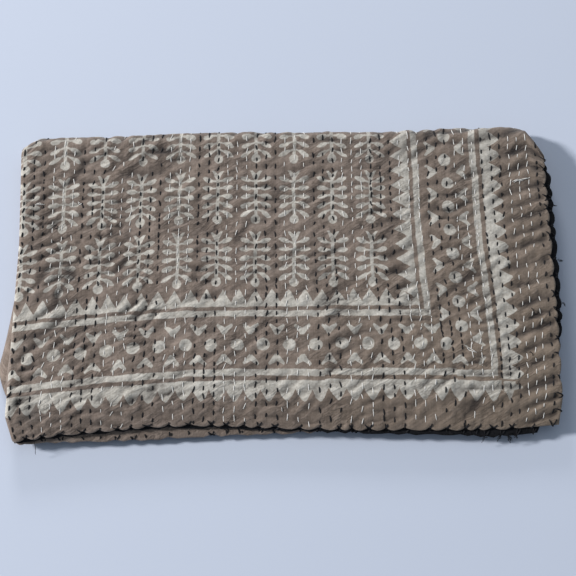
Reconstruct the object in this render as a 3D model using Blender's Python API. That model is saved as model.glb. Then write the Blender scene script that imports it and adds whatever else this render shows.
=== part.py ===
"""Kantha quilt folded to eight layers, lying flat. Metres, +Z up.

The quilt is two cotton cloths, a printed face and a charcoal backing, quilted together. It is
folded three times: in half across (the left fold), in half along (the middle fold, which ends
inside the bundle) and in half again (the far fold). Each cloth is modelled as a flat slab in
cloth coordinates, and every point of it is then carried through the three folds:

u runs across the cloth from the left fold, positive on the side that ends up on top,
v runs along the cloth from the front edge of the top layer to its other end,
n is the height off the middle of the quilt, positive on the printed side.
"""
from collections import namedtuple
from math import pi

import bmesh
import bpy
import numpy as np
from mathutils import Matrix

# Folded bundle, seen from above: the left fold, the front line and the far fold's outermost line
LEFT_X = -0.317
RIGHT_X = 0.317
FRONT_Y = -0.186
FAR_Y = 0.190
INNER_FRONT_Y = -0.138

# Cloths
FACE_THICKNESS = 0.0015
BACKING_THICKNESS = 0.0014
CLOTH_GAP = 0.0003
QUILT_THICKNESS = FACE_THICKNESS + CLOTH_GAP + BACKING_THICKNESS

# Fold radii, measured to the middle of what is folded
LEFT_RADIUS = 0.0020
MIDDLE_RADIUS = 0.0042
FAR_RADIUS = 0.0084
PAIR_HALF = LEFT_RADIUS + QUILT_THICKNESS / 2
STACK_HALF = MIDDLE_RADIUS + PAIR_HALF
BUNDLE_HALF = FAR_RADIUS + STACK_HALF

# Where the folds lie along the cloth
LEFT_ARC_X = LEFT_X + PAIR_HALF
FAR_ARC_Y = FAR_Y - BUNDLE_HALF
SIDE_LENGTH = RIGHT_X - LEFT_ARC_X + LEFT_RADIUS * pi / 2
UPPER_LENGTH = FAR_ARC_Y - FRONT_Y + FAR_RADIUS * pi / 2
LOWER_LENGTH = FAR_ARC_Y - (INNER_FRONT_Y + STACK_HALF) + FAR_RADIUS * pi / 2
MIDDLE_V = UPPER_LENGTH + LOWER_LENGTH + MIDDLE_RADIUS * pi / 2
CLOTH_LENGTH = 2 * MIDDLE_V

# Quilting and hems
STITCH_ROW_PITCH = 0.0115
CHANNEL_DEPTH = 0.0005
CROWN_HEIGHT = 0.0008
PUCKER_HEIGHT = 0.0007
PUCKER_PITCH = 0.037
PUCKER_SLANT = 0.25
SCALLOP_PITCH = 0.0207
SCALLOP_DEPTH = 0.0042
HEM_REACH = 0.008
PLAIN_HEM_Y = 0.168
CORNER_FADE = 0.060

# How the bundle has settled
DROOP_START_Y = -0.150
DROOP_SLOPE = 0.30
SAG = 0.024
SAG_START_X = -0.060
SAG_AT_FAR = 0.6
LOWER_SHIFT = 0.031
LOWER_TURN = 0.035
EDGE_PRESS = 0.08
SWELL = 0.02
SWELL_WAVE_X = 0.42
SWELL_WAVE_Y = 0.55
SIDE_PULL_X = 0.200

# How far each real edge at the front reaches past the front line, from left to right
FrontReach = namedtuple("FrontReach", "x first second third fourth")
FRONT_REACH = [
    FrontReach(-0.317, -0.008, -0.007, -0.007, -0.012),
    FrontReach(-0.250, -0.007, -0.006, -0.001, -0.004),
    FrontReach(-0.205, -0.006, -0.005, 0.003, 0.000),
    FrontReach(-0.150, -0.006, -0.005, 0.006, 0.002),
    FrontReach(-0.087, -0.004, -0.002, 0.006, 0.002),
    FrontReach(0.017, 0.000, 0.002, 0.003, 0.000),
    FrontReach(0.085, 0.001, 0.004, 0.000, -0.003),
    FrontReach(0.138, 0.001, 0.005, -0.003, -0.006),
    FrontReach(0.200, 0.001, 0.006, -0.005, -0.009),
    FrontReach(0.250, 0.000, 0.008, -0.005, -0.012),
    FrontReach(0.317, -0.006, 0.002, -0.012, -0.016),
]

# How far each real edge reaches past the right side, from front to back, in the upper half of
# the bundle and in the lower half
SideReach = namedtuple("SideReach", "y first second third fourth")
SIDE_REACH = [
    SideReach(-0.186, -0.006, -0.030, -0.012, -0.016),
    SideReach(-0.150, -0.001, -0.014, -0.010, -0.014),
    SideReach(-0.085, 0.001, 0.003, -0.006, -0.010),
    SideReach(-0.055, 0.001, 0.007, -0.004, -0.008),
    SideReach(0.012, 0.001, 0.008, -0.003, -0.006),
    SideReach(0.137, 0.000, 0.007, -0.003, -0.004),
    SideReach(0.168, 0.000, 0.000, 0.000, 0.000),
]
LOWER_SIDE_REACH = [
    SideReach(-0.138, -0.003, 0.004, -0.002, -0.006),
    SideReach(0.020, 0.002, -0.003, -0.005, 0.001),
    SideReach(0.168, 0.000, 0.000, 0.000, 0.000),
]

# How far the far fold is drawn in toward its two corners, and pushed out beside the right one
FarCorner = namedtuple("FarCorner", "x pull")
FAR_CORNERS = [
    FarCorner(-0.317, 0.008),
    FarCorner(-0.298, -0.004),
    FarCorner(-0.270, -0.004),
    FarCorner(-0.215, 0.000),
    FarCorner(0.120, -0.001),
    FarCorner(0.200, -0.005),
    FarCorner(0.262, -0.008),
    FarCorner(0.296, -0.006),
    FarCorner(0.317, 0.031),
]
CORNER_DEPTH = 0.115

# How far the left fold of the upper half is drawn in at its front corner
FrontCorner = namedtuple("FrontCorner", "x pull")
FRONT_CORNER = [
    FrontCorner(-0.317, 0.012),
    FrontCorner(-0.298, 0.009),
    FrontCorner(-0.270, 0.004),
    FrontCorner(-0.215, 0.000),
]

# How far the left fold flares beside the far fold, and the lower half's front left corner is back
LEFT_PART_X = -0.215
FLARE_START_Y = 0.055
LEFT_FLARE = 0.007
LOWER_TUCK = 0.030

# Mesh lines of the flat slab
COLUMN_X = [-0.298, -0.270, -0.215, -0.125, 0.010, 0.120, 0.200, 0.262, 0.296]
UPPER_ROW_Y = [-0.150, -0.085, -0.015, 0.055, 0.115]
LOWER_ROW_Y = [0.020]
LEFT_ARC_STEPS = 4
MIDDLE_ARC_STEPS = 4
FAR_OUTER_ARC_STEPS = 6
FAR_INNER_ARC_STEPS = 4
FINE_COLUMN = STITCH_ROW_PITCH / 2
FINE_ROW = 0.0235
FACE_HEM_STEP = 0.0070
BACKING_HEM_STEP = 0.0104


def bend(along, off, radius):
    """Fold a sheet in half. `along` is the distance from the crease, its sign the side of it,
    and `off` the height off the sheet. Gives the distance from the crease's centre line, less
    than nothing on the bend itself, and the height across the fold."""
    angle = np.clip(along / radius, -pi / 2, pi / 2)
    run = np.maximum(np.abs(along) - radius * pi / 2, 0.0)
    return run - (radius + off) * np.cos(angle), (radius + off) * np.sin(angle)


def fold(u, v, n):
    """Carry cloth coordinates through the left, the middle and the far fold."""
    across, pair_n = bend(u, n, LEFT_RADIUS)
    length, stack_n = bend(MIDDLE_V - v, pair_n, MIDDLE_RADIUS)
    depth, bundle_n = bend(length - LOWER_LENGTH, stack_n, FAR_RADIUS)
    return LEFT_ARC_X + across, FAR_ARC_Y - depth, BUNDLE_HALF + bundle_n


def ramp(value, start, end):
    """Straight ramp from 0 at start to 1 at end."""
    return np.clip((value - start) / (end - start), 0.0, 1.0)


def settle_height(x, y, z, swell):
    """Press the bundle thinner at its real edges, let it swell a little elsewhere, and let the
    upper half droop in front of the shorter lower half."""
    press = EDGE_PRESS * np.maximum(x - SIDE_PULL_X, 0.0) / (RIGHT_X - SIDE_PULL_X)
    droop = DROOP_SLOPE * np.maximum(DROOP_START_Y - y, 0.0)
    return z * (1 - press + swell) - droop


def settle_plan(x, y, z):
    """Let the left part sag to the front and flare beside the far fold, turn the lower half a
    little, push its front left corner out and back, round the two far corners, and draw in the
    left front one. Heights stay as they are."""
    far = ramp(y, FRONT_Y, FAR_Y)
    low = np.maximum(BUNDLE_HALF - z, 0.0) / BUNDLE_HALF
    sag = SAG * ramp(x, SAG_START_X, LEFT_X) ** 1.6
    sag = sag * (SAG_AT_FAR * far + (1 - far) * (1 - low))
    left = ramp(x, LEFT_PART_X, LEFT_X)
    pushed = low * (1 - far) ** 2.5
    flare = LEFT_FLARE * left * ramp(y, FLARE_START_Y, FAR_Y)
    turn = LOWER_TURN * low * (1 - far) * x
    corner = table_value(FAR_CORNERS, "x", "pull", x) * ramp(y, FAR_Y - CORNER_DEPTH, FAR_Y) ** 2
    pull = table_value(FRONT_CORNER, "x", "pull", x) * ramp(y, UPPER_ROW_Y[0], FRONT_Y)
    return (x - LOWER_SHIFT * pushed + pull - flare,
            y - sag - turn - corner + LOWER_TUCK * left * pushed)


def table_value(table, key, column, at):
    """Read one named column of a table between its rows."""
    places = [getattr(row, key) for row in table]
    values = [getattr(row, column) for row in table]
    return np.interp(at, places, values)


def scallop(distance, to_corner):
    """Hem between two whip stitches: full at the middle, drawn in where the stitch holds it.
    It fades out toward the cloth's corner."""
    bulge = np.abs(np.sin(pi * distance / SCALLOP_PITCH)) ** 0.6
    return SCALLOP_DEPTH * (bulge - 1) * ramp(to_corner, CORNER_FADE / 2, CORNER_FADE)


def move_edges(u, v):
    """Give the flat slab its uneven real edges: each keeps its own reach and its scallops."""
    x, y, _ = fold(u, v, np.zeros_like(u))
    top_side = u > 0
    first_pair = v < MIDDLE_V
    to_end = np.minimum(v, CLOTH_LENGTH - v)
    upper_half = to_end < UPPER_LENGTH
    to_side = SIDE_LENGTH - np.abs(u)

    def pick(table, key, at):
        first = np.where(top_side, table_value(table, key, "first", at),
                         table_value(table, key, "second", at))
        second = np.where(top_side, table_value(table, key, "fourth", at),
                          table_value(table, key, "third", at))
        return np.where(first_pair, first, second)

    side_reach = np.where(upper_half, pick(SIDE_REACH, "y", y), pick(LOWER_SIDE_REACH, "y", y))
    side_weight = ramp(x, SIDE_PULL_X, RIGHT_X)
    side_hem = ramp(x, RIGHT_X - HEM_REACH, RIGHT_X) * ramp(y, PLAIN_HEM_Y, PLAIN_HEM_Y - HEM_REACH)
    side_hem = np.where(upper_half, side_hem, 0.0)
    side_move = side_reach * side_weight + scallop(v, to_end) * side_hem

    front_reach = pick(FRONT_REACH, "x", x)
    front_weight = np.where(upper_half, ramp(y, UPPER_ROW_Y[0], FRONT_Y), 0.0)
    front_hem = np.where(upper_half, ramp(y, FRONT_Y + HEM_REACH, FRONT_Y), 0.0)
    front_move = front_reach * front_weight + scallop(u, to_side) * front_hem
    return u + np.where(top_side, side_move, -side_move), v + np.where(first_pair, -front_move, front_move)


def quilting(u, v):
    """Height of the printed side over the plain cloth: a channel along each stitch row, a crown
    between two rows, and slanting puckers across them. Only on the top layer and the far fold."""
    row = np.abs(np.sin(pi * u / STITCH_ROW_PITCH))
    puffs = CROWN_HEIGHT * row - CHANNEL_DEPTH * (1 - row)
    puckers = PUCKER_HEIGHT * np.sin(2 * pi * (v - PUCKER_SLANT * u) / PUCKER_PITCH)
    last_v = UPPER_LENGTH + FAR_RADIUS * pi / 2
    shown = ramp(u, LEFT_RADIUS * pi / 2, 0.012) * ramp(SIDE_LENGTH - u, 0.0, 0.006)
    shown = shown * ramp(v, 0.0, 0.006) * ramp(last_v - v, 0.004, 0.012)
    return shown * (puffs + puckers * row)


def arc_steps(centre, radius, steps):
    """Places along the cloth that divide one bend evenly."""
    return list(centre + radius * pi * (np.arange(steps + 1) / steps - 0.5))


def column_lines():
    """Places across the cloth of the slab's mesh lines."""
    side = [x - LEFT_ARC_X + LEFT_RADIUS * pi / 2 for x in COLUMN_X] + [SIDE_LENGTH]
    return [-u for u in reversed(side)] + arc_steps(0.0, LEFT_RADIUS, LEFT_ARC_STEPS) + side


def row_lines():
    """Places along the cloth of the slab's mesh lines: the first pair of layers runs back over
    the outer far bend, and the second pair returns over the inner one."""
    upper = [0.0] + [y - FRONT_Y for y in UPPER_ROW_Y]
    far_bend = arc_steps(UPPER_LENGTH, FAR_RADIUS, FAR_OUTER_ARC_STEPS)
    lower_end = FAR_ARC_Y + UPPER_LENGTH + FAR_RADIUS * pi / 2
    lower = [lower_end - y for y in LOWER_ROW_Y]
    middle_bend = arc_steps(MIDDLE_V, MIDDLE_RADIUS, MIDDLE_ARC_STEPS)
    inner_bend = arc_steps(CLOTH_LENGTH - UPPER_LENGTH, FAR_RADIUS, FAR_INNER_ARC_STEPS)
    first = upper + far_bend + lower
    second = [CLOTH_LENGTH - v for v in reversed(lower)] + inner_bend
    return first + middle_bend + second + [CLOTH_LENGTH - v for v in reversed(upper)]


def flat_slab(low_n, high_n):
    """Closed slab of the unfolded cloth, a grid on the mesh lines with its two skins."""
    columns = column_lines()
    rows = row_lines()
    slab = bmesh.new()
    bmesh.ops.create_grid(slab, x_segments=len(columns) - 1, y_segments=len(rows) - 1, size=1.0)
    for vert in slab.verts:
        column = round((vert.co.x + 1) / 2 * (len(columns) - 1))
        row = round((vert.co.y + 1) / 2 * (len(rows) - 1))
        vert.co = (columns[column], rows[row], high_n)
    bmesh.ops.solidify(slab, geom=slab.faces[:], thickness=high_n - low_n)
    for vert in slab.verts:
        vert.co.z = high_n if vert.co.z > (low_n + high_n) / 2 else low_n
    bmesh.ops.recalc_face_normals(slab, faces=slab.faces[:])
    return slab


def split_edges(slab, chosen, step):
    """Divide each chosen edge into equal pieces of about one step, like edges together."""
    groups = {}
    for edge in slab.edges:
        if chosen(edge):
            cuts = round(edge.calc_length() / step) - 1
            if cuts > 0:
                groups.setdefault(cuts, []).append(edge)
    for cuts, edges in sorted(groups.items()):
        bmesh.ops.subdivide_edges(slab, edges=edges, cuts=cuts, use_single_edge=True,
                                  use_grid_fill=False)


def refine(slab, high_n, hem_step, with_quilting):
    """Add the points that the scallops and, on the printed face, the quilting need."""
    small = 1e-6
    left_bend = LEFT_RADIUS * pi / 2
    far_bend_end = UPPER_LENGTH + FAR_RADIUS * pi / 2

    def runs_across(edge):
        return abs(edge.verts[0].co.y - edge.verts[1].co.y) < small

    def runs_along(edge):
        return abs(edge.verts[0].co.x - edge.verts[1].co.x) < small and not runs_across(edge)

    def middle(edge):
        return (edge.verts[0].co + edge.verts[1].co) / 2

    def quilted(edge):
        at = middle(edge)
        shown = at.x > left_bend - small and at.y < far_bend_end + small
        return with_quilting and shown and at.z > high_n - small

    def on_top_layer(edge):
        return middle(edge).x > 0 and middle(edge).y < UPPER_LENGTH

    def at_cloth_end(edge):
        at = middle(edge)
        return at.y < small or at.y > CLOTH_LENGTH - small

    def at_cloth_side(edge):
        return abs(middle(edge).x) > SIDE_LENGTH - small

    def flat_part(edge):
        at = middle(edge)
        return min(at.y, CLOTH_LENGTH - at.y) < UPPER_LENGTH - FAR_RADIUS * pi / 2

    split_edges(slab, lambda e: runs_across(e) and (quilted(e) or at_cloth_end(e)) and
                abs(middle(e).x) > left_bend, FINE_COLUMN if with_quilting else hem_step)
    split_edges(slab, lambda e: runs_along(e) and with_quilting and flat_part(e) and
                (quilted(e) or (at_cloth_side(e) and on_top_layer(e))), FINE_ROW)
    split_edges(slab, lambda e: runs_along(e) and at_cloth_side(e) and flat_part(e), hem_step)


def cut_quads(slab):
    """Cut every four-sided face along the same diagonal, mirrored at each crease, so that the
    cloths and layers, which share their mesh lines, bend alike and keep their gaps."""
    for face in [f for f in slab.faces if len(f.verts) == 4]:
        order = sorted(face.verts, key=lambda vert: (abs(vert.co.x) + abs(vert.co.y - MIDDLE_V),
                                                     vert.co.z))
        first, last = order[0], order[-1]
        if not any(first in edge.verts and last in edge.verts for edge in face.edges):
            bmesh.utils.face_split(face, first, last)
    bmesh.ops.triangulate(slab, faces=[f for f in slab.faces if len(f.verts) > 3])


def make_cloth(name, low_n, high_n, hem_step, with_quilting, colour, roughness, collection):
    """One cloth of the quilt as a closed solid: flat slab, uneven edges, quilting, three folds,
    then the settling."""
    slab = flat_slab(low_n, high_n)
    refine(slab, high_n, hem_step, with_quilting)
    cut_quads(slab)
    points = np.array([vert.co[:] for vert in slab.verts], dtype=float)
    u, v, n = points.T
    if with_quilting:
        n = n + np.where(n > (low_n + high_n) / 2, quilting(u, v), 0.0)
    flat_x, flat_y, _ = fold(u, v, n)
    swell = SWELL * np.cos(2 * pi * flat_x / SWELL_WAVE_X) * np.cos(2 * pi * flat_y / SWELL_WAVE_Y)
    x, y, z = fold(*move_edges(u, v), n)
    height = settle_height(x, y, z, swell)
    x, y = settle_plan(x, y, z)
    for vert, place in zip(slab.verts, np.column_stack([x, y, height])):
        vert.co = place
    mesh = bpy.data.meshes.new(name)
    slab.to_mesh(mesh)
    slab.free()
    mesh.shade_smooth()
    mesh.materials.append(cotton(name, colour, roughness))
    cloth = bpy.data.objects.new(name, mesh)
    collection.objects.link(cloth)
    return cloth


def stand_on_middle(cloths):
    """Move the bundle in plan so that its middle stands over the origin."""
    corners = np.array([vert.co[:] for cloth in cloths for vert in cloth.data.vertices])
    middle = (corners.min(axis=0) + corners.max(axis=0)) / 2
    for cloth in cloths:
        cloth.data.transform(Matrix.Translation((-middle[0], -middle[1], 0.0)))


def cotton(name, colour, roughness):
    """Matt cotton of one colour."""
    material = bpy.data.materials.new(name)
    material.use_nodes = True
    shader = material.node_tree.nodes["Principled BSDF"]
    shader.inputs["Base Color"].default_value = (*colour, 1.0)
    shader.inputs["Roughness"].default_value = roughness
    shader.inputs["Metallic"].default_value = 0.0
    return material


for old in list(bpy.data.objects):
    bpy.data.objects.remove(old, do_unlink=True)

quilt = bpy.data.collections.new("kantha_quilt")
bpy.context.scene.collection.children.link(quilt)

half = QUILT_THICKNESS / 2
face = make_cloth("face_cloth", half - FACE_THICKNESS, half, FACE_HEM_STEP, True,
                  (0.185, 0.145, 0.120), 0.90, quilt)
backing = make_cloth("backing_cloth", -half, -half + BACKING_THICKNESS, BACKING_HEM_STEP, False,
                     (0.022, 0.022, 0.025), 0.92, quilt)
stand_on_middle([face, backing])
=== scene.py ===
"""Folded kantha quilt: the looks of its two cloths and of all its sewing.

The quilt is folded three times, and every piece here is worked out on the unfolded cloth first:
u runs across it from the left fold, positive on the side that ends up on top, v runs along it
from the front edge of the top layer, and n is the height off the quilt's middle, positive on
the printed side. Metres, +Z up.
"""
from collections import namedtuple
from math import pi, radians

import bpy
import numpy as np
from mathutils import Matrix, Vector


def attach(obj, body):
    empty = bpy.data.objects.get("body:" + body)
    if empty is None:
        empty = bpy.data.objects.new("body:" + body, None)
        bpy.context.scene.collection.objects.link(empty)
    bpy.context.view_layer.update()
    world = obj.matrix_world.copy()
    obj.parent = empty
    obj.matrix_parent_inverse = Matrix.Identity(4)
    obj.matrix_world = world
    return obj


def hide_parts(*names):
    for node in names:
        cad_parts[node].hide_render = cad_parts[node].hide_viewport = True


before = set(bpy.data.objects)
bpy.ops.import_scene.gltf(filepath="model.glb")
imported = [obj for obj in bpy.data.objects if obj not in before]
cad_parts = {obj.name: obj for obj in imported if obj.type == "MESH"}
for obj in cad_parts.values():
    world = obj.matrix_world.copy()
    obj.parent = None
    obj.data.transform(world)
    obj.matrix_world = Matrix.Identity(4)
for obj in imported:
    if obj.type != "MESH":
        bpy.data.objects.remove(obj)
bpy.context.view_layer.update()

# Charcoal backing cloth
# The plain dark cotton under the printed face. It is sewn to the face all over, so it takes
# the same three folds: left, middle (inside the bundle) and far. Its edges are turned in.

# The bundle's outline, half the thickness of the quilt and of each stack of its folded layers,
# and the length of cloth that each layer and each fold takes
LEFT_X, RIGHT_X = -0.317, 0.317
FRONT_Y, FAR_Y, INNER_FRONT_Y = -0.186, 0.190, -0.138
MIDDLE_SHIFT = (0.0053, 0.0016)
QUILT_HALF = 0.0016
LEFT_RADIUS, MIDDLE_RADIUS, FAR_RADIUS = 0.0020, 0.0042, 0.0084
PAIR_HALF = LEFT_RADIUS + QUILT_HALF
STACK_HALF = MIDDLE_RADIUS + PAIR_HALF
BUNDLE_HALF = FAR_RADIUS + STACK_HALF
LEFT_ARC_X = LEFT_X + PAIR_HALF
FAR_ARC_Y = FAR_Y - BUNDLE_HALF
LEFT_TURN, MIDDLE_TURN = LEFT_RADIUS * pi / 2, MIDDLE_RADIUS * pi / 2
FAR_TURN = FAR_RADIUS * pi / 2
SIDE_LENGTH = RIGHT_X - LEFT_ARC_X + LEFT_TURN
UPPER_LENGTH = FAR_ARC_Y - FRONT_Y + FAR_TURN
LOWER_LENGTH = FAR_ARC_Y - (INNER_FRONT_Y + STACK_HALF) + FAR_TURN
MIDDLE_V = UPPER_LENGTH + LOWER_LENGTH + MIDDLE_TURN
CLOTH_LENGTH = 2 * MIDDLE_V

# How the folded bundle settles under its own weight and the folder's hands
DROOP_START_Y, DROOP_SLOPE = -0.150, 0.30
SAG, SAG_START_X, SAG_AT_FAR, SAG_POWER = 0.024, -0.060, 0.6, 1.6
LOWER_SHIFT, LOWER_TURN, PUSH_POWER = 0.031, 0.035, 2.5
EDGE_PRESS, SIDE_PULL_X = 0.08, 0.200
SWELL, SWELL_WAVE_X, SWELL_WAVE_Y = 0.02, 0.42, 0.55
CORNER_DEPTH = 0.115

# How the whip stitches draw in the hems, and how the turned-in edges curl over
HEM_REACH, PLAIN_HEM_Y, FRONT_PULL_Y = 0.008, 0.168, -0.150
WHIP_PITCH, SCALLOP_DEPTH, CORNER_FADE = 0.0207, 0.0042, 0.060
WHIP_DRIFT, WHIP_DRIFT_LENGTH = 0.22, 0.021
WHIP_JITTER, WHIP_JITTER_LENGTH, WHIP_JITTER_PHASE = 0.10, 0.0078, 1.0
BULGE_POWER, HEM_CURL, HEM_PINCH, PINCH_REACH = 0.6, 0.003, 0.45, 0.007

# How far each real edge at the front reaches past the front line, by layer from the top
FrontReach = namedtuple("FrontReach", "x first second third fourth")
FRONT_REACH = [
    FrontReach(-0.317, -0.008, -0.007, -0.007, -0.012),
    FrontReach(-0.250, -0.007, -0.006, -0.001, -0.004),
    FrontReach(-0.205, -0.006, -0.005, 0.003, 0.000),
    FrontReach(-0.150, -0.006, -0.005, 0.006, 0.002),
    FrontReach(-0.087, -0.004, -0.002, 0.006, 0.002),
    FrontReach(0.017, 0.000, 0.002, 0.003, 0.000),
    FrontReach(0.085, 0.001, 0.004, 0.000, -0.003),
    FrontReach(0.138, 0.001, 0.005, -0.003, -0.006),
    FrontReach(0.200, 0.001, 0.006, -0.005, -0.009),
    FrontReach(0.250, 0.000, 0.008, -0.005, -0.012),
    FrontReach(0.317, -0.006, 0.002, -0.012, -0.016),
]

# How far each real edge reaches past the right side, in the upper half and in the lower half
SideReach = namedtuple("SideReach", "y first second third fourth")
SIDE_REACH = [
    SideReach(-0.186, -0.006, -0.030, -0.012, -0.016),
    SideReach(-0.150, -0.001, -0.014, -0.010, -0.014),
    SideReach(-0.085, 0.001, 0.003, -0.006, -0.010),
    SideReach(-0.055, 0.001, 0.007, -0.004, -0.008),
    SideReach(0.012, 0.001, 0.008, -0.003, -0.006),
    SideReach(0.137, 0.000, 0.007, -0.003, -0.004),
    SideReach(0.168, 0.000, 0.000, 0.000, 0.000),
]
LOWER_SIDE_REACH = [
    SideReach(-0.138, -0.003, 0.004, -0.002, -0.006),
    SideReach(0.020, 0.002, -0.003, -0.005, 0.001),
    SideReach(0.168, 0.000, 0.000, 0.000, 0.000),
]

# How far the far fold is drawn in toward its two corners, and pushed out beside the right one
FarCorner = namedtuple("FarCorner", "x pull")
FAR_CORNERS = [
    FarCorner(-0.317, 0.008),
    FarCorner(-0.298, -0.004),
    FarCorner(-0.270, -0.004),
    FarCorner(-0.215, 0.000),
    FarCorner(0.120, -0.001),
    FarCorner(0.200, -0.005),
    FarCorner(0.262, -0.008),
    FarCorner(0.296, -0.006),
    FarCorner(0.317, 0.031),
]

# How far the left fold of the upper half is drawn in at its front corner
FrontCorner = namedtuple("FrontCorner", "x pull")
FRONT_CORNER = [
    FrontCorner(-0.317, 0.012),
    FrontCorner(-0.298, 0.009),
    FrontCorner(-0.270, 0.004),
    FrontCorner(-0.215, 0.000),
]
LEFT_PART_X, FLARE_START_Y = -0.215, 0.055
LEFT_FLARE, LOWER_TUCK = 0.007, 0.030


def bend(along, off, radius):
    """A sheet folded in half: a straight run, a half circle of the radius round the crease, and
    a straight run back, with `off` added to the circle's radius and to the runs' height."""
    angle = np.clip(along / radius, -pi / 2, pi / 2)
    run = np.maximum(np.abs(along) - radius * pi / 2, 0.0)
    return run - (radius + off) * np.cos(angle), (radius + off) * np.sin(angle)


def fold(u, v, n):
    """The left fold's bend, then the middle fold's, then the far fold's, each taking the height
    that the one before gave."""
    across, pair_n = bend(u, n, LEFT_RADIUS)
    length, stack_n = bend(MIDDLE_V - v, pair_n, MIDDLE_RADIUS)
    depth, bundle_n = bend(length - LOWER_LENGTH, stack_n, FAR_RADIUS)
    return LEFT_ARC_X + across, FAR_ARC_Y - depth, BUNDLE_HALF + bundle_n


def ramp(value, start, end):
    """Straight ramp from 0 at start to 1 at end."""
    return np.clip((value - start) / (end - start), 0.0, 1.0)


def eased(share):
    """A share from 0 to 1 that starts and ends gently: 3 s squared less 2 s cubed."""
    return share * share * (3 - 2 * share)


def table_value(table, key, column, at):
    """One named column of a table, straight between its rows."""
    return np.interp(at, [getattr(row, key) for row in table],
                     [getattr(row, column) for row in table])


def whip_count(distance):
    """Counts the whip stitches along an edge: evenly, with two small waves of uneven spacing."""
    drift = WHIP_DRIFT * np.sin(distance / WHIP_DRIFT_LENGTH)
    jitter = WHIP_JITTER * np.sin(distance / WHIP_JITTER_LENGTH + WHIP_JITTER_PHASE)
    return distance / WHIP_PITCH + drift + jitter


def hem_bulge(distance):
    """0 where a whip stitch holds the hem and 1 halfway to the next: the size of a
    sine, raised to a power below 1 so that the hem is full between the stitches."""
    return np.abs(np.sin(pi * whip_count(distance))) ** BULGE_POWER


def scallop(distance, to_corner):
    """The hem drawn in at each whip stitch, fading out toward the cloth's corner."""
    return SCALLOP_DEPTH * (hem_bulge(distance) - 1) * ramp(to_corner, CORNER_FADE / 2, CORNER_FADE)


def move_edges(u, v):
    """Each real edge moved by its own reach, which grows toward the edge, and by its scallops."""
    x, y, _ = fold(u, v, 0.0 * u)
    top_side, first_pair = u > 0, v < MIDDLE_V
    to_end, to_side = np.minimum(v, CLOTH_LENGTH - v), SIDE_LENGTH - np.abs(u)
    upper_half = to_end < UPPER_LENGTH

    def pick(table, key, at):
        """The reach of the layer that each point lies in, counted from the top."""
        layers = [table_value(table, key, name, at) for name in table[0]._fields[1:]]
        return np.where(first_pair, np.where(top_side, layers[0], layers[1]),
                        np.where(top_side, layers[3], layers[2]))

    side_reach = np.where(upper_half, pick(SIDE_REACH, "y", y), pick(LOWER_SIDE_REACH, "y", y))
    side_hem = ramp(x, RIGHT_X - HEM_REACH, RIGHT_X) * ramp(y, PLAIN_HEM_Y, PLAIN_HEM_Y - HEM_REACH)
    side_move = side_reach * ramp(x, SIDE_PULL_X, RIGHT_X)
    side_move = side_move + scallop(v, to_end) * np.where(upper_half, side_hem, 0.0)
    front_move = pick(FRONT_REACH, "x", x) * ramp(y, FRONT_PULL_Y, FRONT_Y)
    front_move = front_move + scallop(u, to_side) * ramp(y, FRONT_Y + HEM_REACH, FRONT_Y)
    front_move = np.where(upper_half, front_move, 0.0)
    return (u + np.where(top_side, side_move, -side_move),
            v + np.where(first_pair, -front_move, front_move))


def lay(u, v, n):
    """Cloth coordinates to places: edges moved, three folds, then the settling. The bundle is
    pressed thinner at its right edge, swells in a slow wave elsewhere, droops in front of the
    shorter lower half, sags to the front at the left, flares at the left of the far fold, and is
    drawn in at its corners; the lower half's front left corner is pushed out and back."""
    flat_x, flat_y, _ = fold(u, v, n)
    swell = SWELL * np.cos(2 * pi * flat_x / SWELL_WAVE_X) * np.cos(2 * pi * flat_y / SWELL_WAVE_Y)
    x, y, z = fold(*move_edges(u, v), n)
    press = EDGE_PRESS * np.maximum(x - SIDE_PULL_X, 0.0) / (RIGHT_X - SIDE_PULL_X)
    height = z * (1 - press + swell) - DROOP_SLOPE * np.maximum(DROOP_START_Y - y, 0.0)
    far = ramp(y, FRONT_Y, FAR_Y)
    low = np.maximum(BUNDLE_HALF - z, 0.0) / BUNDLE_HALF
    sag = SAG * ramp(x, SAG_START_X, LEFT_X) ** SAG_POWER
    sag = sag * (SAG_AT_FAR * far + (1 - far) * (1 - low))
    left, pushed = ramp(x, LEFT_PART_X, LEFT_X), low * (1 - far) ** PUSH_POWER
    flare = LEFT_FLARE * left * ramp(y, FLARE_START_Y, FAR_Y)
    turn = LOWER_TURN * low * (1 - far) * x
    corner = table_value(FAR_CORNERS, "x", "pull", x) * ramp(y, FAR_Y - CORNER_DEPTH, FAR_Y) ** 2
    pull = table_value(FRONT_CORNER, "x", "pull", x) * ramp(y, FRONT_PULL_Y, FRONT_Y)
    plan_x = x - LOWER_SHIFT * pushed + pull - flare
    plan_y = y - sag - turn - corner + LOWER_TUCK * left * pushed
    return np.stack([plan_x + MIDDLE_SHIFT[0], plan_y + MIDDLE_SHIFT[1], height], axis=-1)


def true_length(v):
    """Length along the real cloth: the outer skin runs longer round the far fold than the
    quilt's middle does, and the inner skin shorter."""
    outer = np.clip(v - (UPPER_LENGTH - FAR_TURN), 0.0, 2 * FAR_TURN)
    inner = np.clip(v - (CLOTH_LENGTH - UPPER_LENGTH - FAR_TURN), 0.0, 2 * FAR_TURN)
    return v + 0.5 * outer - 0.5 * inner


def hem_curl(u, v):
    """1 over the cloth and 0 at its real edges: a quarter circle over the last few millimetres,
    drawn thinner under each whip stitch."""
    to_end, to_side = np.minimum(v, CLOTH_LENGTH - v), SIDE_LENGTH - np.abs(u)
    curl = 1.0
    for distance, along in ((to_end, u), (to_side, v)):
        edge = np.sqrt(1 - (1 - ramp(distance, 0.0, HEM_CURL)) ** 2)
        pinch = HEM_PINCH * (1 - hem_bulge(along)) * ramp(distance, PINCH_REACH, 0.0)
        curl = curl * edge * (1 - pinch)
    return curl


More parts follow.
